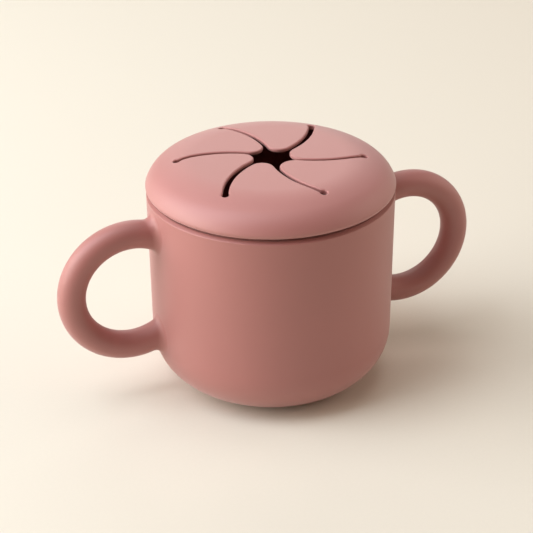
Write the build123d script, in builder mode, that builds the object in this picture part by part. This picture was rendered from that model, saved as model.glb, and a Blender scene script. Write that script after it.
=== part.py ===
from build123d import *

import os
from math import acos, asin, cos, degrees, radians, sin, sqrt

# A moulded silicone snack cup with two loop handles, and the lid that presses on over its neck.
# The lid is a shallow dome, cut by curved slits into flaps that bend down when a small hand
# reaches in.
# Millimetres. Z is up, the cup stands on z = 0 about the Z axis, and the handles lie along X.

# ---- cup ----
cup_radius = 43.0            # outside, at the ledge
ledge_height = 70.8          # the flat shoulder round the neck, which the lid hides
side_draft = 0.33            # degrees that the outside narrows on the way down
base_corner_radius = 18.6    # the large rounded bottom corner, outside
base_thickness = 4.0
wall_thickness = 4.0         # of the cup, at the mouth
bore_draft = 0.6             # degrees that the inside narrows on the way down
ledge_edge_fillet = 0.5

# ---- neck that the lid grips ----
neck_wall = 1.6
neck_height = 3.9            # above the ledge
neck_edge_fillet = 0.5
bead_height = 0.5            # how far the bead stands out of the neck
bead_radius = 0.8
bead_drop = 1.1              # bead's middle, below the neck's top

# ---- handles ----
handle_thickness = 9.75      # diameter of the round grip
handle_ring_radius = 21.1    # middle of the grip, about the middle of the loop
handle_offset = 9.0          # middle of the loop, out from the cup's side
handle_drop = 28.9           # middle of the loop, below the ledge
handle_root_fillet = 3.0     # blend between the grip and the cup's side
handle_arc = 200.0           # degrees of the loop between its two stubs on the cup

# ---- lid ----
lid_overhang = 0.4           # how far the dome's curve swings out past the cup's side
lid_thickness = 2.0
lid_gap = 1.3                # open line between the ledge and the lid's lower edge
edge_drop = 1.08             # middle of the tight edge curve, below the lid's lower edge
lid_edge_fillet = 1.8        # rounding of the lid's lower edge
crown_radius = 1000.0        # the nearly flat middle of the dome
shoulder_radius = 28.0
shoulder_width = 11.1        # band of the shoulder, seen from above
edge_width = 5.8             # band of the tighter edge curve outside it, seen from above
lip_height = 0.85            # the lip that grips under the bead
lip_clearance = 0.05         # radial, between the bead and the lip
groove_clearance = 0.25      # radial, between the bead and the groove above the lip

# ---- slits and flaps ----
petal_count = 6
first_slit_angle = 40.3      # direction of the first slit's outer end, from +X
slit_inset = 11.05           # outer end of a slit, in from the lid's widest circle
slit_bow_height = 3.95       # how far a slit's arc bows away from a straight line
slit_width = 1.4
relief_hole_radius = 1.1     # round hole that ends each slit
petal_tip_fillet = 4.0
knuckle_radius = 1.55        # round root on which a flap turns, wider than the wall is thick
knuckle_clearance = 0.05     # radial, between the round root and the lid
knuckle_end_gap = 0.4        # between the round root's ends and the relief holes
fold_down = 60.0             # degrees, into the cup
fold_up = 35.0               # degrees, out of the cup
fold_margin = 4.0            # degrees that the lid is cut back past both folds

# ---- dependent sizes ----
bore_radius = cup_radius - wall_thickness
neck_radius = bore_radius + neck_wall
neck_top = ledge_height + neck_height
bead_level = neck_top - bead_drop
bead_outer_radius = neck_radius + bead_height
handle_reach = cup_radius + handle_offset
handle_height = ledge_height - handle_drop
lid_radius = cup_radius + lid_overhang
lid_bottom = ledge_height + lid_gap
slit_ring_radius = lid_radius - slit_inset
lip_radius = bead_outer_radius + lip_clearance
groove_radius = bead_outer_radius + groove_clearance
base_radius = cup_radius - ledge_height * sin(radians(side_draft))
bore_floor_radius = bore_radius - (neck_top - base_thickness) * sin(radians(bore_draft))
bore_corner_radius = base_corner_radius - base_thickness
stub_arc = degrees(acos((bore_radius - handle_reach) / handle_ring_radius)) - handle_arc / 2
petal_angle = 360.0 / petal_count
hinge_reach = slit_ring_radius * cos(radians(petal_angle / 2))
hinge_length = 2 * slit_ring_radius * sin(radians(petal_angle / 2))
knuckle_length = hinge_length - 2 * (relief_hole_radius + knuckle_end_gap)

# The dome's outer face is three arcs that run into each other: edge, shoulder and crown.
shoulder_reach = lid_radius - edge_width
crown_reach = shoulder_reach - shoulder_width
crown_angle = degrees(asin(crown_reach / crown_radius))
shoulder_angle = degrees(asin(crown_reach / crown_radius + shoulder_width / shoulder_radius))
edge_radius = edge_width / (1 - sin(radians(shoulder_angle)))
edge_centre = (lid_radius - edge_radius, lid_bottom - edge_drop)
shoulder_centre = (
    shoulder_reach - shoulder_radius * sin(radians(shoulder_angle)),
    edge_centre[1] - (shoulder_radius - edge_radius) * cos(radians(shoulder_angle)),
)
crown_centre = (
    0.0,
    shoulder_centre[1] - (crown_radius - shoulder_radius) * cos(radians(crown_angle)),
)
lid_top = crown_centre[1] + crown_radius


def shoulder_face_height(reach):
    """Height of the shoulder's outer face, at a distance from the axis."""
    across = reach - shoulder_centre[0]
    return shoulder_centre[1] + sqrt(shoulder_radius**2 - across**2)


# A flap's root line is straight while the dome falls away towards the slit ends, so it lies at
# the middle of the wall, halfway between the line's middle and its ends.
hinge_height = (
    (shoulder_face_height(hinge_reach) + shoulder_face_height(slit_ring_radius)) / 2 - lid_thickness / 2
)


def dome_section(depth):
    """Half section of the dome, filled down to the lid's lower edge, a depth inside its face."""
    foot_angle = degrees(asin(edge_drop / (edge_radius - depth)))
    with BuildSketch() as section:
        with BuildLine():
            CenterArc(crown_centre, crown_radius - depth, 90, -crown_angle)
            CenterArc(
                shoulder_centre,
                shoulder_radius - depth,
                90 - crown_angle,
                crown_angle - shoulder_angle,
            )
            edge = CenterArc(
                edge_centre,
                edge_radius - depth,
                90 - shoulder_angle,
                foot_angle + shoulder_angle - 90,
            )
            Polyline(edge @ 1, (0, lid_bottom), (0, lid_top - depth))
        make_face()
    return section.sketch


def lid_void():
    """Half section of the room inside the lid, with the lip at its mouth and the groove above."""
    lip_top = lid_bottom + lip_height
    with BuildSketch() as void:
        add(dome_section(lid_thickness))
        with Locations((0, lid_bottom)):
            Rectangle(bore_radius, lid_top, align=(Align.MIN, Align.MIN), mode=Mode.INTERSECT)
        with Locations((0, lid_bottom)):
            Rectangle(lip_radius, lip_height, align=(Align.MIN, Align.MIN))
        with Locations((0, lip_top)):
            Rectangle(groove_radius, neck_top - lip_top, align=(Align.MIN, Align.MIN))
    return void.sketch


def slit_end(number):
    """Outer end of a slit, seen from above."""
    angle = radians(first_slit_angle + number * petal_angle)
    return (slit_ring_radius * cos(angle), slit_ring_radius * sin(angle))


def hinge_plane(number):
    """Plane across a flap's root line: its x points away from the axis, its y up."""
    angle = radians(first_slit_angle + (number + 0.5) * petal_angle)
    outward = (cos(angle), sin(angle), 0)
    along = (sin(angle), -cos(angle), 0)
    origin = (hinge_reach * outward[0], hinge_reach * outward[1], hinge_height)
    return Plane(origin=origin, x_dir=outward, z_dir=along)


def slit_cuts():
    """All slits and their relief holes, seen from above."""
    with BuildSketch() as cuts:
        for number in range(petal_count):
            with BuildLine(mode=Mode.PRIVATE) as middle:
                SagittaArc((0, 0), slit_end(number), -slit_bow_height)
            SlotArc(middle.wire(), slit_width)
        with PolarLocations(slit_ring_radius, petal_count, first_slit_angle):
            Circle(relief_hole_radius)
    return cuts.sketch


def petal_outline():
    """First flap between its two slits and its root line, with its rounded tip."""
    with BuildSketch() as outline:
        with BuildLine():
            SagittaArc((0, 0), slit_end(0), -slit_bow_height)
            Line(slit_end(0), slit_end(1))
            SagittaArc(slit_end(1), (0, 0), slit_bow_height)
        make_face()
        add(slit_cuts(), mode=Mode.SUBTRACT)
        tip = outline.vertices().sort_by_distance((0, 0))[0]
        fillet(tip, petal_tip_fillet)
    return outline.sketch


def fold_space():
    """Section of the room that a flap needs at its root, from full fold down to full fold up."""
    groove_radius_at_root = knuckle_radius + knuckle_clearance
    reach = 2 * hinge_reach
    down = radians(fold_down + fold_margin)
    up = radians(fold_up + fold_margin)
    below = (groove_radius_at_root * sin(down), -groove_radius_at_root * cos(down))
    above = (groove_radius_at_root * sin(up), groove_radius_at_root * cos(up))
    with BuildSketch() as space:
        Circle(groove_radius_at_root)
        with BuildLine():
            Polyline(
                (0, 0),
                below,
                (below[0] - reach * cos(down), below[1] - reach * sin(down)),
                (above[0] - reach * cos(up), above[1] + reach * sin(up)),
                above,
                close=True,
            )
        make_face()
    return space.sketch


def handle_bar(first_angle, arc):
    """A stretch of the right-hand loop's round bar; angle 0 is its outermost point."""
    start = radians(first_angle)
    loop_middle = Vector(handle_reach, 0, handle_height)
    end_plane = Plane(
        origin=loop_middle + Vector(cos(start), 0, sin(start)) * handle_ring_radius,
        z_dir=(-sin(start), 0, cos(start)),
    )
    with BuildPart() as bar:
        with BuildSketch(end_plane):
            Circle(handle_thickness / 2)
        revolve(axis=Axis(loop_middle, (0, -1, 0)), revolution_arc=arc)
    return bar.part


# ---- handles: the open part of each round loop ----
with BuildPart() as handle_right:
    add(handle_bar(-handle_arc / 2, handle_arc))

with BuildPart() as handle_left:
    mirror(handle_right.part, about=Plane.YZ)

# ---- cup body, with the short stubs that blend into the handles ----
with BuildPart() as cup_body:
    with BuildSketch(Plane.YZ) as side_section:
        with BuildLine():
            Polyline(
                (0, 0),
                (base_radius, 0),
                (cup_radius, ledge_height),
                (0, ledge_height),
                close=True,
            )
        make_face()
        base_corner = side_section.vertices().group_by(Axis.Y)[0].sort_by(Axis.X)[-1]
        fillet(base_corner, base_corner_radius)
        ledge_corner = side_section.vertices().group_by(Axis.Y)[-1].sort_by(Axis.X)[-1]
        fillet(ledge_corner, ledge_edge_fillet)
    revolve(axis=Axis.Z)
    for first_angle in (handle_arc / 2, -handle_arc / 2 - stub_arc):
        stub = handle_bar(first_angle, stub_arc)
        add(stub)
        mirror(stub, about=Plane.YZ)
    fillet(cup_body.edges().filter_by(GeomType.BSPLINE), handle_root_fillet)
    with BuildSketch(Plane.YZ) as neck_section:
        with Locations((neck_radius, ledge_height)):
            Rectangle(neck_wall, neck_height, align=(Align.MAX, Align.MIN))
        fillet(neck_section.vertices().group_by(Axis.Y)[-1], neck_edge_fillet)
        with Locations((bead_outer_radius - bead_radius, bead_level)):
            Circle(bead_radius)
    revolve(axis=Axis.Z)
    with BuildSketch(Plane.YZ) as bore_section:
        with BuildLine():
            Polyline(
                (0, base_thickness),
                (bore_floor_radius, base_thickness),
                (bore_radius, neck_top),
                (0, neck_top),
                close=True,
            )
        make_face()
        bore_corner = bore_section.vertices().group_by(Axis.Y)[0].sort_by(Axis.X)[-1]
        fillet(bore_corner, bore_corner_radius)
    revolve(axis=Axis.Z, mode=Mode.SUBTRACT)

# ---- lid ----
with BuildPart() as dome_shell:
    with BuildSketch(Plane.YZ):
        add(dome_section(0))
        add(dome_section(lid_thickness), mode=Mode.SUBTRACT)
    revolve(axis=Axis.Z)

with BuildPart() as lid_shell:
    with BuildSketch(Plane.YZ) as lid_section:
        add(dome_section(0))
        lower_edge = lid_section.vertices().group_by(Axis.Y)[0].sort_by(Axis.X)[-1]
        fillet(lower_edge, lid_edge_fillet)
        add(lid_void(), mode=Mode.SUBTRACT)
    revolve(axis=Axis.Z)
    for number in range(petal_count):
        with BuildSketch(hinge_plane(number)):
            add(fold_space())
        extrude(amount=hinge_length / 2, both=True, mode=Mode.SUBTRACT)
    with BuildSketch(Plane.XY.offset(lid_bottom)):
        add(slit_cuts())
    extrude(amount=lid_top, mode=Mode.SUBTRACT)

# ---- flaps: each a piece of the dome with a round root, flush with the dome's two faces ----
with BuildPart() as first_petal:
    with BuildSketch(Plane.XY.offset(lid_bottom)):
        add(petal_outline())
    extrude(amount=lid_top)
    with BuildSketch(hinge_plane(0)):
        Circle(knuckle_radius)
    extrude(amount=knuckle_length / 2, both=True)
    add(dome_shell.part, mode=Mode.INTERSECT)
    with BuildSketch(Plane.XY.offset(lid_bottom)):
        add(slit_cuts())
    extrude(amount=lid_top, mode=Mode.SUBTRACT)

petals = []
for number in range(petal_count):
    with BuildPart() as petal:
        add(first_petal.part.rotate(Axis.Z, number * petal_angle))
    petals.append(petal)

# ---- files ----
os.makedirs("parts", exist_ok=True)

cup_body.part.label = "cup_body"
handle_right.part.label = "handle_right"
handle_left.part.label = "handle_left"
lid_shell.part.label = "lid_shell"
export_step(cup_body.part, "parts/cup_body.step")
export_step(handle_right.part, "parts/handle_right.step")
export_step(handle_left.part, "parts/handle_left.step")
export_step(lid_shell.part, "parts/lid_shell.step")

for number, petal in enumerate(petals, start=1):
    petal.part.label = f"petal_{number}"
    export_step(petal.part, f"parts/petal_{number}.step")
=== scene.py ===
from math import acos, asin, atan2, ceil, cos, pi, radians, sin, sqrt, tan

import bpy
import numpy as np
from mathutils import Matrix, Vector
from mathutils.geometry import delaunay_2d_cdt


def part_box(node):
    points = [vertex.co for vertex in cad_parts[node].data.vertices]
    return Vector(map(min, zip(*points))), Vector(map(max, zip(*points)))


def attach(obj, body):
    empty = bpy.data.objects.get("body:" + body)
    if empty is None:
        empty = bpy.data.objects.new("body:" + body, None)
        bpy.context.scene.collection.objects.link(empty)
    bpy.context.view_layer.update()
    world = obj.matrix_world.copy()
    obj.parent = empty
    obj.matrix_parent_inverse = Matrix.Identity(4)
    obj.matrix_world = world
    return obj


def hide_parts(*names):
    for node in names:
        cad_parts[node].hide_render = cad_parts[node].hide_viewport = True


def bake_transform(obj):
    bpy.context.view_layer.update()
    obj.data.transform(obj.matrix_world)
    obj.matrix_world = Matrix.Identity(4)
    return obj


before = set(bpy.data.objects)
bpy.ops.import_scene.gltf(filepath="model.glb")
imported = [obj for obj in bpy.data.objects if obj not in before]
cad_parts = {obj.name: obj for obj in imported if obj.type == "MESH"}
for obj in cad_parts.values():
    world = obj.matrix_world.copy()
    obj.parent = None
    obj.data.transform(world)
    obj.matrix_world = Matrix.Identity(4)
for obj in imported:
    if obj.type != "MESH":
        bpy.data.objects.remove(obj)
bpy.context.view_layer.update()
scene = bpy.context.scene

# A moulded silicone snack cup with two loop handles, and a dome lid cut into six curved flaps.
# Shapes are in millimetres, in the frame's own axes. Finishes, lamps and the camera are in metres.

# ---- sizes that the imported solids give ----
millimetres = 1000.0
handle_low, handle_high = (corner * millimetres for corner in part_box("handle_right"))
grip_radius = (handle_high.y - handle_low.y) / 2
loop_radius = (handle_high.z - handle_low.z) / 2 - grip_radius
loop_height = (handle_high.z + handle_low.z) / 2
loop_reach = handle_high.x - loop_radius - grip_radius
neck_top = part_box("cup_body")[1].z * millimetres
lid_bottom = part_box("lid_shell")[0].z * millimetres
flap_names = [f"petal_{number}" for number in range(1, 7)]

# ---- cup ----
cup_radius = 43.0
ledge_height = 70.8
ledge_edge = ledge_height - 0.15
ledge_round = 0.45
ledge_crest = 71.35
crest_radius = 41.7
crest_round = 0.25
side_draft = radians(0.33)
base_corner = 18.6
base_thickness = 4.0
bore_radius = 39.0
bore_draft = radians(0.6)
neck_radius = 40.6
neck_foot_round = 0.1
neck_edge_round = 0.3
mouth_round = 0.5
bead_level = neck_top - 1.1
bead_stand = 0.66
bead_half_height = 0.74
bead_round = 0.8
bead_foot_round = 0.2
axis_gap = 0.01

# ---- roots of the handles: where a grip stops lies between these angles along its loop ----
root_fillet = 3.0
clear_of_cup = radians(88)
inside_cup = radians(150)
halvings = 40
fillet_steps = 13
loop_steps = 121
grip_steps = 64
grip_angles = np.arange(grip_steps) * 2 * pi / grip_steps

# ---- dome of the lid: arcs that run into each other, from the crown down to the rim ----
lid_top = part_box("petal_1")[1].z * millimetres
lid_thickness = 2.0
crown_radius = 1000.0
crown_reach = 26.5
shoulder_radius = 28.0
shoulder_reach = 37.6
rim_reach = 43.15
rim_round = 1.5
rim_undercut = 1.85
rim_bottom = lid_bottom + 0.1
rim_steps = 24
lip_radius = 41.15
lip_top = lid_bottom + 0.85
lip_round = 0.08
lip_foot_round = 0.1
groove_radius = 41.35
seat_round = 0.25
crown_angle = asin(crown_reach / crown_radius)
shoulder_angle = asin(sin(crown_angle) + (shoulder_reach - crown_reach) / shoulder_radius)
crown_way = np.array((sin(crown_angle), cos(crown_angle)))
shoulder_way = np.array((sin(shoulder_angle), cos(shoulder_angle)))
crown_centre = np.array((0.0, lid_top - crown_radius))
shoulder_centre = crown_centre + (crown_radius - shoulder_radius) * crown_way
shoulder_end = shoulder_centre + shoulder_radius * shoulder_way
rim_centre = np.array((rim_reach - rim_round, rim_bottom + rim_round))
to_shoulder = shoulder_end - rim_centre
edge_radius = (to_shoulder @ to_shoulder - rim_round**2) / (to_shoulder @ shoulder_way - rim_round) / 2
edge_centre = shoulder_end - edge_radius * shoulder_way

# ---- slits and flaps ----
flap_count = len(flap_names)
flap_turn = 2 * pi / flap_count
first_slit = radians(40.3)
slit_reach = 32.05
slit_bow = 3.95
slit_half_widths = (1.0, 0.75, 0.75, 1.0, 0.7, 0.65)
edge_run = 0.6
edge_fall = 0.5
relief_radius = 1.25
relief_neck_round = 2.0
tip_rounds = (4.15, 4.4, 4.15, 4.2, 5.35, 5.05)
flap_thinning = 0.5
thinning_rate = 2.5
join_reach = 35.5

# ---- fineness of the nets ----
around = 360
mesh_spacing = 0.8
row_pitch = mesh_spacing * sqrt(0.75)
border_gap = mesh_spacing * 0.45
hole_spacing = 0.15
tip_spacing = 0.3
wall_spacing = 0.5
seam_steps = 4
edge_steps = 7
least_reach = 1e-6


# ---- sections and skins ----
class Skin:
    """The points, normals and faces of one piece, gathered patch by patch."""

    def __init__(self):
        self.points = []
        self.normals = []
        self.faces = []
        self.count = 0

    def patch(self, points, normals, faces):
        """Adds points, their normals, and faces that count from this patch's first point."""
        self.points.append(np.asarray(points, float))
        self.normals.append(np.asarray(normals, float))
        self.faces.append(np.asarray(faces, int) + self.count)
        self.count += len(points)

    def grid(self, points, normals, closed=False):
        """Adds a net of rows by columns. A closed net joins its last column to its first."""
        rows, columns = points.shape[:2]
        index = np.arange(rows * columns).reshape(rows, columns)
        if closed:
            index = np.concatenate((index, index[:, :1]), axis=1)
        corners = (index[:-1, :-1], index[:-1, 1:], index[1:, 1:], index[1:, :-1])
        faces = np.stack([corner.ravel() for corner in corners], axis=1)
        self.patch(points.reshape(-1, 3), normals.reshape(-1, 3), faces)

    def turned(self, angle):
        """The same skin turned about the upright axis."""
        turn = np.array(Matrix.Rotation(angle, 3, "Z"))
        other = Skin()
        for points, normals in zip(self.points, self.normals):
            other.points.append(points @ turn.T)
            other.normals.append(normals @ turn.T)
        other.faces = list(self.faces)
        other.count = self.count
        return other

    def build(self, name, finish):
        """Makes the piece. A face whose corners run against its normals is turned round."""
        points = np.concatenate(self.points)
        normals = np.concatenate(self.normals)
        outlines = []
        for faces in self.faces:
            first, second, third, last = (points[faces[:, column]] for column in (0, 1, 2, -1))
            if faces.shape[1] == 3:
                across = np.cross(second - first, last - first)
            else:
                across = np.cross(third - first, last - second)
            inward = (across * normals[faces].sum(axis=1)).sum(axis=1) < 0
            faces = np.where(inward[:, None], faces[:, ::-1], faces)
            outlines.extend(faces.tolist())
        mesh = bpy.data.meshes.new(name)
        mesh.from_pydata((points / millimetres).tolist(), [], outlines)
        mesh.polygons.foreach_set("use_smooth", [True] * len(mesh.polygons))
        mesh.normals_split_custom_set_from_vertices(normals.tolist())
        mesh.materials.append(finish)
        piece = bpy.data.objects.new(name, mesh)
        scene.collection.objects.link(piece)
        return piece


def unit(vectors):
    vectors = np.asarray(vectors, float)
    return vectors / np.linalg.norm(vectors, axis=-1, keepdims=True)


def rounded(corners, step=radians(6)):
    """A section line through (reach, height, fillet) corners, with the normals on its right-hand side."""
    places = np.array([corner[:2] for corner in corners], float)
    runs = unit(np.diff(places, axis=0))
    sides = np.stack((runs[:, 1], -runs[:, 0]), axis=1)
    points, normals = [places[0]], [sides[0]]
    for before, after, place, corner in zip(range(len(runs)), range(1, len(runs)), places[1:], corners[1:]):
        turn = atan2(np.cross(runs[before], runs[after]), runs[before] @ runs[after])
        bend = np.sign(turn)
        start = place - runs[before] * corner[2] * tan(abs(turn) / 2)
        centre = start - bend * sides[before] * corner[2]
        for share in np.linspace(0, 1, max(3, ceil(abs(turn) / step))):
            swing = turn * share
            normal = sides[before] * cos(swing) + runs[before] * sin(swing)
            points.append(centre + bend * normal * corner[2])
            normals.append(normal)
    points.append(places[-1])
    normals.append(sides[-1])
    return np.array(points), np.array(normals)


def arc(centre, radius, start, end, face=1, step=radians(2.5)):
    """Points of an arc, with normals that point out of it, or in where face is -1."""
    angles = np.linspace(start, end, max(3, ceil(abs(end - start) / step)))
    ways = np.stack((np.cos(angles), np.sin(angles)), axis=1)
    return centre + radius * ways, face * ways


def chain(*stretches):
    """Several stretches of a section as one."""
    return tuple(np.concatenate(parts) for parts in zip(*stretches))


def lathe(skin, section):
    """Turns a section about the upright axis into a patch of the skin."""
    line, sides = section
    angles = first_slit + np.arange(around) * 2 * pi / around
    ring = np.stack((np.cos(angles), np.sin(angles)), axis=1)

    def spun(pairs):
        flat = pairs[:, None, :1] * ring[None]
        rise = np.broadcast_to(pairs[:, None, 1:], flat.shape[:2] + (1,))
        return np.concatenate((flat, rise), axis=2)

    skin.grid(spun(line), spun(sides), closed=True)


# ---- cup and handles: one moulding ----
side_run = ledge_height * sin(side_draft)
base_radius = cup_radius - side_run
floor_radius = bore_radius - (neck_top - base_thickness) * sin(bore_draft)
corner_centre = np.array((0.0, base_corner))
corner_centre[0] = base_radius - base_corner * (1 - sin(side_draft)) / cos(side_draft)


def gap_to_side(points):
    """Distance of points from the cup's outside, and the outside's normals there."""
    reach = np.hypot(points[:, 0], points[:, 1])
    spread = points[:, :2] / reach[:, None]
    beside = (reach - base_radius) * cos(side_draft) - points[:, 2] * sin(side_draft)
    from_corner = np.stack((reach, points[:, 2]), axis=1) - corner_centre
    below = from_corner[:, 1] * cos(side_draft) + from_corner[:, 0] * sin(side_draft) < 0
    distance = np.where(below, np.linalg.norm(from_corner, axis=1) - base_corner, beside)
    tilted = np.where(below[:, None], unit(from_corner), np.array((cos(side_draft), -sin(side_draft))))
    return distance, np.concatenate((spread * tilted[:, :1], tilted[:, 1:]), axis=1)


def loop_frame(along, round_grip):
    """Middle of the grip, and the grip's outward normal, at angles along the loop and round the grip."""
    outward = np.stack((np.cos(along), np.zeros_like(along), np.sin(along)), axis=-1)
    middle = np.array((loop_reach, 0.0, loop_height)) + loop_radius * outward
    normal = np.cos(round_grip)[..., None] * outward
    normal[..., 1] += np.sin(round_grip)
    return middle, normal


def root_blend(end):
    """Where the grip stops at one end of the loop, and the fillet from there to the cup's side.

    The stop is found by halving. There a ball of the fillet's radius touches both grip and cup.
    """
    clear = np.full(grip_steps, end * clear_of_cup)
    buried = np.full(grip_steps, end * inside_cup)
    for _ in range(halvings):
        half = (clear + buried) / 2
        middle, normal = loop_frame(half, grip_angles)
        distance, _side = gap_to_side(middle + (grip_radius + root_fillet) * normal)
        outside = distance > root_fillet
        clear = np.where(outside, half, clear)
        buried = np.where(outside, buried, half)
    middle, normal = loop_frame(clear, grip_angles)
    ball = middle + (grip_radius + root_fillet) * normal
    _distance, side = gap_to_side(ball)
    swing = np.arccos(np.clip((normal * side).sum(axis=1), -1, 1))[:, None]
    rows = []
    for share in np.linspace(0, 1, fillet_steps):
        rows.append((np.sin((1 - share) * swing) * normal + np.sin(share * swing) * side) / np.sin(swing))
    turned = np.stack(rows)
    return clear, ball[None] - root_fillet * turned, turned


def add_handle(skin, mirrored):
    """Adds one loop: its round grip and a fillet at each end."""
    flip = np.array((-1.0 if mirrored else 1.0, 1.0, 1.0))
    upper, upper_points, upper_normals = root_blend(1)
    lower, lower_points, lower_normals = root_blend(-1)
    shares = np.linspace(0, 1, loop_steps)[:, None]
    along = lower + (upper - lower) * shares
    middle, normal = loop_frame(along, np.broadcast_to(grip_angles, along.shape))
    skin.grid((middle + grip_radius * normal) * flip, normal * flip, closed=True)
    skin.grid(upper_points * flip, upper_normals * flip, closed=True)
    skin.grid(lower_points * flip, lower_normals * flip, closed=True)


def make_cup(finish):
    skin = Skin()
    lathe(
        skin,
        rounded(
            [
                (axis_gap, 0.0, 0.0),
                (base_radius, 0.0, base_corner),
                (cup_radius, ledge_edge, ledge_round),
                (crest_radius, ledge_crest, crest_round),
                (neck_radius, ledge_crest, neck_foot_round),
                (neck_radius, bead_level - bead_half_height, bead_foot_round),
                (neck_radius + bead_stand, bead_level, bead_round),
                (neck_radius, bead_level + bead_half_height, bead_foot_round),
                (neck_radius, neck_top, neck_edge_round),
                (bore_radius, neck_top, mouth_round),
                (floor_radius, base_thickness, base_corner - base_thickness),
                (axis_gap, base_thickness, 0.0),
            ]
        ),
    )
    add_handle(skin, mirrored=False)
    add_handle(skin, mirrored=True)
    cup = skin.build("cup_with_handles", finish)
    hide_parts("cup_body", "handle_left", "handle_right")
    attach(cup, "cup")


# ---- lid ----
def dome(reach, depth):
    """Height of the dome at points this far from the axis, and its slope as a section normal."""
    crown_limit = (crown_radius - depth) * sin(crown_angle)
    shoulder_limit = shoulder_centre[0] + (shoulder_radius - depth) * sin(shoulder_angle)
    zones = [reach < crown_limit, reach < shoulder_limit]
    middle = np.select(zones, [0.0, shoulder_centre[0]], edge_centre[0])
    level = np.select(zones, [crown_centre[1], shoulder_centre[1]], edge_centre[1])
    radius = np.select(zones, [crown_radius, shoulder_radius], edge_radius) - depth
    rise = np.sqrt(radius**2 - (reach - middle) ** 2)
    return level + rise, np.stack(((reach - middle) / radius, rise / radius), axis=-1)


def dome_patch(plan, depth):
    """Points on the dome's face over points of the plan, and their normals."""
    reach = np.maximum(np.linalg.norm(plan, axis=-1), least_reach)
    height, slope = dome(reach, depth)
    points = np.concatenate((plan, height[..., None]), axis=-1)
    spread = plan / reach[..., None]
    return points, np.concatenate((spread * slope[..., :1], slope[..., 1:]), axis=-1)


def make_lid_ring(finish):
    skin = Skin()
    inner_join = acos((join_reach - shoulder_centre[0]) / (shoulder_radius - lid_thickness))
    outer_join = acos((join_reach - shoulder_centre[0]) / shoulder_radius)
    shoulder_foot = pi / 2 - shoulder_angle
    edge_foot = heading(edge_centre, rim_centre)
    seat_angle = acos((bore_radius - edge_centre[0]) / (edge_radius - lid_thickness))
    seat_height = edge_centre[1] + (edge_radius - lid_thickness) * sin(seat_angle)
    lathe(
        skin,
        chain(
            arc(shoulder_centre, shoulder_radius - lid_thickness, inner_join, shoulder_foot, -1),
            arc(edge_centre, edge_radius - lid_thickness, shoulder_foot, seat_angle, -1),
        ),
    )
    lathe(
        skin,
        rounded(
            [
                (bore_radius, seat_height, 0.0),
                (bore_radius, neck_top, seat_round),
                (groove_radius, neck_top, seat_round),
                (groove_radius, lip_top, lip_round),
                (lip_radius, lip_top, lip_round),
                (lip_radius, rim_bottom, lip_foot_round),
                (rim_reach - rim_undercut, rim_bottom, 0.0),
            ]
        ),
    )
    # The rim's lower half is a quarter of an oval, deeper inwards than it is tall.
    below = np.linspace(-pi / 2, 0, rim_steps)
    across = np.cos(below)
    down = np.sin(below)
    rim_line = np.stack((rim_reach - rim_undercut * (1 - across), rim_centre[1] + rim_round * down), axis=1)
    lathe(skin, (rim_line, unit(np.stack((across * rim_round, down * rim_undercut), axis=1))))
    lathe(
        skin,
        chain(
            arc(rim_centre, rim_round, 0.0, edge_foot),
            arc(edge_centre, edge_radius, edge_foot, shoulder_foot),
            arc(shoulder_centre, shoulder_radius, shoulder_foot, outer_join),
        ),
    )
    ring = skin.build("lid_ring", finish)
    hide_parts("lid_shell")
    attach(ring, "lid")


def crossing(centre, radius, other_centre, other_radius):
    """The crossing of two circles that lies nearer to the middle of the lid."""
    apart = other_centre - centre
    distance = np.linalg.norm(apart)
    along = (distance**2 + radius**2 - other_radius**2) / (2 * distance)
    aside = sqrt(radius**2 - along**2)
    way = apart / distance
    square = np.array((-way[1], way[0]))
    found = [centre + along * way + side * aside * square for side in (-1, 1)]
    return min(found, key=np.linalg.norm)


def heading(start, end):
    """The angle of the way from one point to another."""
    return atan2(end[1] - start[1], end[0] - start[0])


def outline_arc(centre, radius, start, end, inset, spacing):
    """Points on one arc of a flap's outline, and the direction in which the outline is inset there."""
    sweep = (end - start + pi) % (2 * pi) - pi
    steps = max(4, ceil(abs(sweep) * radius / spacing))
    angles = start + sweep * np.arange(steps) / steps
    ways = np.stack((np.cos(angles), np.sin(angles)), axis=1)
    return centre + radius * ways, inset * ways


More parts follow.
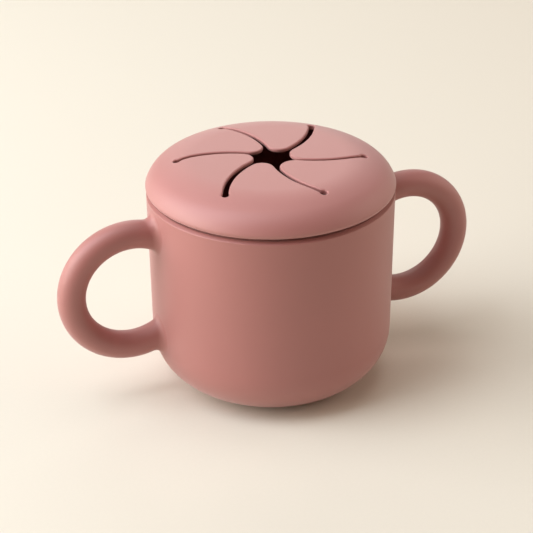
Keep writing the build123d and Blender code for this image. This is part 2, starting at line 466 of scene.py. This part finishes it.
def flap_outline(number):
    """Outline of a flap at the slits' walls, from one relief hole round the tip to the next.

    It is drawn where the first flap stands. Each slit is an arc that bows to the right on its way
    out, so all that bounds a flap is arcs.
    """
    tip_round = tip_rounds[number]
    slit_radius = (slit_reach**2 / 4 + slit_bow**2) / (2 * slit_bow)
    holes, bows = [], []
    for angle in (first_slit, first_slit + flap_turn):
        way = np.array((cos(angle), sin(angle)))
        left = np.array((-sin(angle), cos(angle)))
        holes.append(slit_reach * way)
        bows.append(slit_reach / 2 * way + (slit_radius - slit_bow) * left)
    left_wall = slit_radius - slit_half_widths[number]
    right_wall = slit_radius + slit_half_widths[(number + 1) % flap_count]
    neck_reach = relief_radius + relief_neck_round
    left_neck = crossing(holes[0], neck_reach, bows[0], left_wall - relief_neck_round)
    right_neck = crossing(holes[1], neck_reach, bows[1], right_wall + relief_neck_round)
    tip = crossing(bows[0], left_wall - tip_round, bows[1], right_wall + tip_round)
    left_turns = (heading(left_neck, holes[0]), heading(bows[0], left_neck))
    right_turns = (heading(right_neck, bows[1]), heading(right_neck, holes[1]))
    stretches = (
        (holes[0], relief_radius, first_slit, heading(holes[0], left_neck), 1, hole_spacing),
        (left_neck, relief_neck_round, *left_turns, -1, hole_spacing),
        (bows[0], left_wall, heading(bows[0], left_neck), heading(bows[0], tip), -1, wall_spacing),
        (tip, tip_round, heading(bows[0], tip), heading(tip, bows[1]), -1, tip_spacing),
        (bows[1], right_wall, heading(bows[1], tip), heading(bows[1], right_neck), 1, wall_spacing),
        (right_neck, relief_neck_round, *right_turns, -1, hole_spacing),
        (holes[1], relief_radius, heading(holes[1], right_neck), first_slit + flap_turn, 1, hole_spacing),
    )
    line, insets = chain(*(outline_arc(*stretch) for stretch in stretches))
    end_way = unit(holes[1])
    return np.vstack((line, holes[1] + relief_radius * end_way)), np.vstack((insets, end_way))


def inside(outline, places):
    """Which places lie inside a closed outline, by counting the sides that a ray crosses.

    No ray crosses a level side, so any rise that isn't nothing serves for one.
    """
    after = np.roll(outline, -1, axis=0)
    x, y = places[:, :1], places[:, 1:]
    spans = (outline[:, 1] > y) != (after[:, 1] > y)
    rise = np.where(after[:, 1] == outline[:, 1], 1.0, after[:, 1] - outline[:, 1])
    ahead = x < outline[:, 0] + (y - outline[:, 1]) * (after[:, 0] - outline[:, 0]) / rise
    return (spans & ahead).sum(axis=1) % 2 == 1


def flap_net(border):
    """Triangles that fill the plan of a flap, with evenly spread points inside its border."""
    low, high = border.min(axis=0), border.max(axis=0)
    rows = np.arange(low[1], high[1], row_pitch)
    columns = np.arange(low[0], high[0], mesh_spacing)
    spread = [(x + (row % 2) * mesh_spacing / 2, y) for row, y in enumerate(rows) for x in columns]
    places = np.array(spread)
    places = places[inside(border, places)]
    nearest = np.min(np.linalg.norm(places[:, None] - border[None], axis=2), axis=1)
    places = places[nearest > border_gap]
    plan = [Vector(place) for place in np.vstack((border, places))]
    ring = list(range(len(border)))
    keep_inside = 1
    merge_gap = 1e-6
    found = delaunay_2d_cdt(plan, [], [ring], keep_inside, merge_gap)
    return np.array([tuple(place) for place in found[0]]), np.array(found[2])


def flap_face(plan, face):
    """The top (1) or underside (-1) of a flap, which gets thinner towards the middle of the lid."""
    if face > 0:
        return dome_patch(plan, 0.0)
    points, normals = dome_patch(plan, lid_thickness)
    nearness = np.clip(1 - np.linalg.norm(plan, axis=-1) / slit_reach, 0.0, 1.0)
    points[:, 2] += flap_thinning * np.minimum(nearness * thinning_rate, 1.0)
    return points, normals


def flap_skin(number):
    """A flap with its share of the dome out to the ring: top, underside and rounded slit walls."""
    line, insets = flap_outline(number)
    steps = around // flap_count
    angles = first_slit + flap_turn * np.arange(steps, -1, -1) / steps
    outer = join_reach * np.stack((np.cos(angles), np.sin(angles)), axis=1)
    seam = slit_reach + relief_radius + edge_run
    seam_points = np.linspace(seam, join_reach, seam_steps)[1:-1]
    outgoing = np.outer(seam_points, (cos(angles[0]), sin(angles[0])))
    incoming = np.outer(seam_points[::-1], (cos(angles[-1]), sin(angles[-1])))
    border = np.vstack((line + edge_run * insets, outgoing, outer, incoming))
    plan, triangles = flap_net(border)
    skin = Skin()
    top, top_normals = flap_face(plan, 1)
    under, under_normals = flap_face(plan, -1)
    skin.patch(top, top_normals, triangles)
    skin.patch(under, -under_normals, triangles)
    walls = np.concatenate((-insets, np.zeros((len(line), 1))), axis=1)
    rows, row_normals = [], []
    quarter = np.linspace(0, pi / 2, edge_steps)
    for face, turns in ((1, quarter), (-1, quarter[::-1])):
        for turn in turns:
            points, normals = flap_face(line + insets * edge_run * (1 - sin(turn)), face)
            points[:, 2] -= face * edge_fall * (1 - cos(turn))
            rows.append(points)
            row_normals.append(unit(face * edge_run * cos(turn) * normals + edge_fall * sin(turn) * walls))
    skin.grid(np.stack(rows), np.stack(row_normals))
    return skin


def make_flaps(finish):
    """Makes the six flaps."""
    for number, name in enumerate(flap_names):
        flap = flap_skin(number).turned(number * flap_turn).build(f"lid_flap_{number + 1}", finish)
        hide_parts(name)
        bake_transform(flap)


# ---- finishes ----
class Term:
    """A node's output that takes part in sums. Each sum adds one Math node to its finish."""

    def __init__(self, finish, socket):
        self.finish = finish
        self.socket = socket

    def sum(self, operation, left, right):
        return self.finish.node("ShaderNodeMath", "Value", {"operation": operation}, {0: left, 1: right})

    def __add__(self, other):
        return self.sum("ADD", self, other)

    def __radd__(self, other):
        return self.sum("ADD", other, self)

    def __sub__(self, other):
        return self.sum("SUBTRACT", self, other)

    def __rsub__(self, other):
        return self.sum("SUBTRACT", other, self)

    def __mul__(self, other):
        return self.sum("MULTIPLY", self, other)

    def __rmul__(self, other):
        return self.sum("MULTIPLY", other, self)


class Finish:
    """One material, or the world, put together node by node."""

    def __init__(self, holder):
        self.holder = holder
        self.holder.use_nodes = True
        self.tree = self.holder.node_tree
        self.tree.nodes.clear()

    def add(self, kind, settings, inputs):
        """Adds a node, sets it up, and fills its sockets with values or with links."""
        node = self.tree.nodes.new(kind)
        for name, value in settings.items():
            setattr(node, name, value)
        for name, value in inputs.items():
            if isinstance(value, Term):
                self.tree.links.new(value.socket, node.inputs[name])
            else:
                node.inputs[name].default_value = value
        return node

    def node(self, kind, output, settings, inputs):
        """Adds a node in the same way, and gives back the named output."""
        return Term(self, self.add(kind, settings, inputs).outputs[output])

    def noise(self, place, scale, detail, roughness=0.5):
        """Smooth noise between 0 and 1, at a scale in cells per metre."""
        inputs = {"Vector": place, "Scale": scale, "Detail": detail, "Roughness": roughness}
        return self.node("ShaderNodeTexNoise", "Fac", {}, inputs)

    def mix(self, share, first, second):
        """A colour between two others."""
        inputs = {0: share, 6: first, 7: second}
        return self.node("ShaderNodeMix", 2, {"data_type": "RGBA"}, inputs)

    def close(self, kind, shader):
        """Ends the finish in an output of this kind."""
        self.add(kind, {}, {"Surface": shader})
        return self.holder

    def surface(self, inputs):
        """Ends the finish in one principled surface."""
        shader = self.node("ShaderNodeBsdfPrincipled", "BSDF", {}, inputs)
        return self.close("ShaderNodeOutputMaterial", shader)


def rose_silicone(name, shade, tint):
    """Matte dusty-rose silicone: faint clouds in the colour and a fine moulded grain."""
    finish = Finish(bpy.data.materials.new(name))
    place = finish.node("ShaderNodeTexCoord", "Object", {}, {})
    clouds = finish.noise(place, scale=45.0, detail=3.0)
    grain = finish.noise(place, scale=2600.0, detail=2.0)
    colour = finish.mix(clouds * 0.7 + grain * 0.3, shade, tint)
    roughness = 0.56 + 0.1 * (grain - 0.5) + 0.06 * (clouds - 0.5)
    height = grain * 0.4 + clouds * 0.6
    bump = {"Strength": 0.12, "Distance": 0.0002, "Height": height}
    relief = finish.node("ShaderNodeBump", "Normal", {}, bump)
    return finish.surface(
        {
            "Base Color": colour,
            "Roughness": roughness,
            "Normal": relief,
            "Specular IOR Level": 1.0,
            "Sheen Weight": 0.3,
            "Sheen Roughness": 0.5,
        }
    )


def paper_floor():
    """The plain pale floor. Far from the cup, and for the camera alone, it fades into the world."""
    finish = Finish(bpy.data.materials.new("pale_floor"))
    place = finish.node("ShaderNodeTexCoord", "Object", {}, {})
    tooth = finish.noise(place, scale=900.0, detail=2.0)
    colour = finish.mix(tooth, floor_shade, floor_tint)
    reach = finish.node("ShaderNodeVectorMath", "Value", {"operation": "LENGTH"}, {0: place})
    ends = {"Value": reach, "From Min": fade_start, "From Max": fade_end}
    far = finish.node("ShaderNodeMapRange", "Result", {"interpolation_type": "SMOOTHSTEP"}, ends)
    seen = finish.node("ShaderNodeLightPath", "Is Camera Ray", {}, {})
    return finish.surface(
        {"Base Color": colour, "Roughness": 0.9, "Specular IOR Level": 0.1, "Alpha": 1 - far * seen}
    )


cup_shade = (0.388, 0.127, 0.111, 1.0)
cup_tint = (0.425, 0.139, 0.122, 1.0)
# The lid is the same silicone as the cup, but its colours are set lighter and paler than the cup's. This is
# painted light and painted sheen: it stands in for the brighter, whiter look of the lid's upturned top.
lid_shade_painted_paler = (0.43, 0.156, 0.142, 1.0)
lid_tint_painted_paler = (0.467, 0.17, 0.156, 1.0)
cup_finish = rose_silicone("cup_silicone", cup_shade, cup_tint)
lid_finish_painted_paler = rose_silicone("lid_silicone", lid_shade_painted_paler, lid_tint_painted_paler)

make_cup(cup_finish)
make_lid_ring(lid_finish_painted_paler)
make_flaps(lid_finish_painted_paler)

# ---- floor, light and camera ----
floor_shade = (0.765, 0.72, 0.63, 1.0)
floor_tint = (0.785, 0.74, 0.65, 1.0)
fade_start = 0.45
fade_end = 0.68
world_light = (0.08, 0.072, 0.048, 1.0)
world_seen = (0.90, 0.83, 0.70, 1.0)

# The camera stands at this distance from a point at the target's height on the cup's axis. Its
# angles are in degrees, and the last three are small turns about its own Y, X and Z axes.
camera_turn = 22.359
camera_rise = 28.303
camera_distance = 0.53371
camera_target = 0.03822
camera_swing = 0.178
camera_nod = 0.177
camera_roll = -0.345
focal_pixels = 1500.0
picture_pixels = 533.0

lamp_target = Vector((0.0, 0.0, 0.04))

# Name, azimuth, elevation, distance, width, height, power and colour of each soft box.
soft_boxes = (
    ("key_light", 181.0, 17.0, 1.2, 1.3, 0.5, 10.3, (0.97, 0.97, 0.91)),
    ("front_light", 205.0, 15.0, 1.2, 1.0, 0.4, 3.8, (1.0, 0.96, 0.85)),
    ("fill_light", 185.0, 38.0, 1.2, 1.0, 0.5, 6.0, (0.88, 0.91, 1.0)),
    ("high_light", 200.0, 60.0, 1.2, 0.6, 0.6, 5.2, (0.86, 0.93, 1.0)),
    ("top_light", 180.0, 88.0, 1.3, 1.0, 1.0, 4.7, (1.0, 0.93, 0.89)),
    ("back_light", 94.0, 30.0, 1.3, 1.0, 0.7, 4.2, (1.0, 0.97, 0.92)),
    ("side_light", 12.0, 22.0, 1.3, 1.2, 0.8, 6.2, (1.0, 0.78, 0.67)),
)


def make_floor():
    """A round floor, in rings that get wider outwards."""
    rings = np.array((1.0, 150.0, 600.0, 2000.0, 6000.0))
    steps = 96
    angles = np.arange(steps) * 2 * pi / steps
    circle = np.stack((np.cos(angles), np.sin(angles), np.zeros(steps)), axis=1)
    points = rings[:, None, None] * circle[None]
    normals = np.broadcast_to(np.array((0.0, 0.0, 1.0)), points.shape)
    skin = Skin()
    skin.grid(points, normals, closed=True)
    floor = skin.build("floor", paper_floor())


def soft_light(name, azimuth, elevation, distance, width, height, power, colour):
    """A soft box that faces the cup. Azimuth is counted from above, from the camera's right."""
    lamp = bpy.data.lights.new(name, "AREA")
    lamp.shape = "RECTANGLE"
    lamp.size = width
    lamp.size_y = height
    lamp.energy = power
    lamp.color = colour
    holder = bpy.data.objects.new(name, lamp)
    turn = radians(azimuth - camera_turn)
    lift = radians(elevation)
    way = Vector((cos(turn) * cos(lift), sin(turn) * cos(lift), sin(lift)))
    holder.location = lamp_target + way * distance
    holder.rotation_mode = "QUATERNION"
    holder.rotation_quaternion = way.to_track_quat("Z", "Y")
    scene.collection.objects.link(holder)


def make_camera():
    lens = bpy.data.cameras.new("camera")
    lens.sensor_width = 36.0
    lens.lens = focal_pixels / picture_pixels * lens.sensor_width
    lens.clip_start = 0.01
    lens.clip_end = 50.0
    camera = bpy.data.objects.new("camera", lens)
    scene.collection.objects.link(camera)
    rise = radians(camera_rise)
    stand = Vector((0.0, -camera_distance * cos(rise), camera_target + camera_distance * sin(rise)))
    camera.matrix_world = (
        Matrix.Rotation(-radians(camera_turn), 4, "Z")
        @ Matrix.Translation(stand)
        @ Matrix.Rotation(pi / 2 - rise, 4, "X")
        @ Matrix.Rotation(radians(camera_swing), 4, "Y")
        @ Matrix.Rotation(radians(camera_nod), 4, "X")
        @ Matrix.Rotation(radians(camera_roll), 4, "Z")
    )
    scene.camera = camera


def make_world():
    """A dim warm world that lights the cup, seen by the camera alone as a pale backdrop."""
    studio = Finish(bpy.data.worlds.new("studio"))
    seen = studio.node("ShaderNodeLightPath", "Is Camera Ray", {}, {})
    colour = studio.mix(seen, world_light, world_seen)
    shader = studio.node("ShaderNodeBackground", "Background", {}, {"Color": colour, "Strength": 1.0})
    scene.world = studio.close("ShaderNodeOutputWorld", shader)


make_floor()
make_camera()
make_world()
for soft_box in soft_boxes:
    soft_light(*soft_box)

scene.view_settings.view_transform = "Standard"
